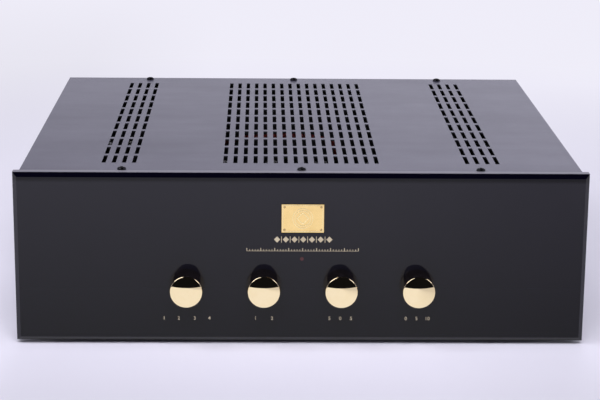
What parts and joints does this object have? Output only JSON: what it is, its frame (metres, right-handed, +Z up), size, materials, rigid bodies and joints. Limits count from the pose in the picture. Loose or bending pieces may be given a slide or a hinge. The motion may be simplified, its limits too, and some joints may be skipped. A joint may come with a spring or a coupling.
{
  "type": "tube integrated amplifier",
  "caption": "Full-width tube integrated amplifier: black gloss front with a row of turned gold knobs, slotted steel case, line sockets, speaker terminals and mains inlet behind.",
  "frame": {"origin": "under the middle of the whole part, on the plane that its feet stand on", "axes": "+X to the right as seen from the front, +Y to the back, where the sockets are, +Z up"},
  "size_m": [0.447, 0.4416, 0.1404],
  "materials": {
    "black_acrylic": "polished",
    "badge_brass": "satin",
    "case_steel": "satin",
    "black_steel": "fine texture",
    "cover_steel": "fine texture, satin",
    "black_screw": "black oxide",
    "zinc_steel": "zinc plated",
    "rubber": "matt",
    "switch_plastic": "moulded",
    "pot_steel": "plain",
    "brass_fitting": "turned",
    "red_lens": "clear red",
    "black_plastic": "moulded",
    "core_iron": "varnished",
    "coil_tape": "taped",
    "board_laminate": "solder mask",
    "socket_ceramic": "white",
    "tube_glass": "clear",
    "electrode_metal": "carbonised",
    "capacitor_sleeve": "shrink sleeve",
    "red_film": "dipped",
    "grey_cable": "sleeved",
    "red_cable": "sleeved",
    "gold_plate": "gold plated",
    "socket_insulator": "moulded",
    "red_cap": "moulded",
    "black_cap": "moulded",
    "rocker_plastic": "moulded",
    "knob_gold": "gold plated, polished"
  },
  "bodies": {
    "case": {"front_panel": "black_acrylic", "badge_plate": "badge_brass", "badge_pins": "badge_brass", "front_plate": "case_steel", "rear_plate": "black_steel", "left_side": "black_steel", "right_side": "black_steel", "base_plate": "black_steel", "top_cover": "cover_steel", "cover_screws": "black_screw", "case_screws": "black_screw", "panel_bolts": "zinc_steel", "feet": "rubber", "foot_screws": "zinc_steel", "input_switch": "switch_plastic", "tape_switch": "switch_plastic", "balance_pot": "pot_steel", "volume_pot": "pot_steel", "bush_nuts": "brass_fitting", "led_lens": "red_lens", "led_holder": "black_plastic", "mains_core": "core_iron", "output_core": "core_iron", "choke_core": "core_iron", "mains_coil": "coil_tape", "output_coil": "coil_tape", "choke_coil": "coil_tape", "transformer_straps": "zinc_steel", "transformer_bolts": "zinc_steel", "circuit_board": "board_laminate", "board_pillars": "brass_fitting", "tube_sockets": "socket_ceramic", "output_tube_bulbs": "tube_glass", "signal_tube_bulbs": "tube_glass", "tube_electrodes": "electrode_metal", "reservoir_capacitors": "capacitor_sleeve", "coupling_capacitors": "red_film", "signal_loom": "grey_cable", "output_loom": "red_cable", "line_shells": "gold_plate", "line_insulators": "socket_insulator", "post_stems": "gold_plate", "post_collars": "black_plastic", "inlet_housing": "black_plastic", "inlet_pins": "gold_plate", "switch_frame": "black_plastic"},
    "input_control": {"knob_input": "knob_gold", "shaft_input": "zinc_steel"},
    "tape_control": {"knob_tape": "knob_gold", "shaft_tape": "zinc_steel"},
    "balance_control": {"knob_balance": "knob_gold", "shaft_balance": "zinc_steel"},
    "volume_control": {"knob_volume": "knob_gold", "shaft_volume": "zinc_steel"},
    "cap_1": {"post_cap_1": "red_cap"},
    "cap_2": {"post_cap_2": "black_cap"},
    "cap_3": {"post_cap_3": "red_cap"},
    "cap_4": {"post_cap_4": "black_cap"},
    "rocker": {"power_rocker": "rocker_plastic"},
    "drawer": {"fuse_drawer": "black_plastic"}
  },
  "joints": [
    {"name": "input_turn", "type": "hinge", "parent": "case", "child": "input_control", "pos_m": [-0.0893, -0.201, 0.0485], "axis": [0, 1, 0], "range_deg": [0, 90]},
    {"name": "tape_turn", "type": "hinge", "parent": "case", "child": "tape_control", "pos_m": [-0.0291, -0.201, 0.0485], "axis": [0, 1, 0], "range_deg": [0, 30]},
    {"name": "balance_turn", "type": "hinge", "parent": "case", "child": "balance_control", "pos_m": [0.0311, -0.201, 0.0485], "axis": [0, 1, 0], "range_deg": [-140, 140]},
    {"name": "volume_turn", "type": "hinge", "parent": "case", "child": "volume_control", "pos_m": [0.0913, -0.201, 0.0485], "axis": [0, 1, 0], "range_deg": [0, 300]},
    {"name": "cap_1_turn", "type": "hinge", "parent": "case", "child": "cap_1", "pos_m": [-0.03, 0.2038, 0.062], "axis": [0, 1, 0], "range_deg": [0, 360]},
    {"name": "cap_2_turn", "type": "hinge", "parent": "case", "child": "cap_2", "pos_m": [-0.006, 0.2038, 0.062], "axis": [0, 1, 0], "range_deg": [0, 360]},
    {"name": "cap_3_turn", "type": "hinge", "parent": "case", "child": "cap_3", "pos_m": [0.018, 0.2038, 0.062], "axis": [0, 1, 0], "range_deg": [0, 360]},
    {"name": "cap_4_turn", "type": "hinge", "parent": "case", "child": "cap_4", "pos_m": [0.042, 0.2038, 0.062], "axis": [0, 1, 0], "range_deg": [0, 360]},
    {"name": "rocker_tilt", "type": "hinge", "parent": "case", "child": "rocker", "pos_m": [0.118, 0.19721, 0.062], "axis": [1, 0, 0], "range_deg": [-20, 0]},
    {"name": "drawer_slide", "type": "slide", "parent": "case", "child": "drawer", "axis": [0, 1, 0], "range_m": [0, 0.018]}
  ]
}
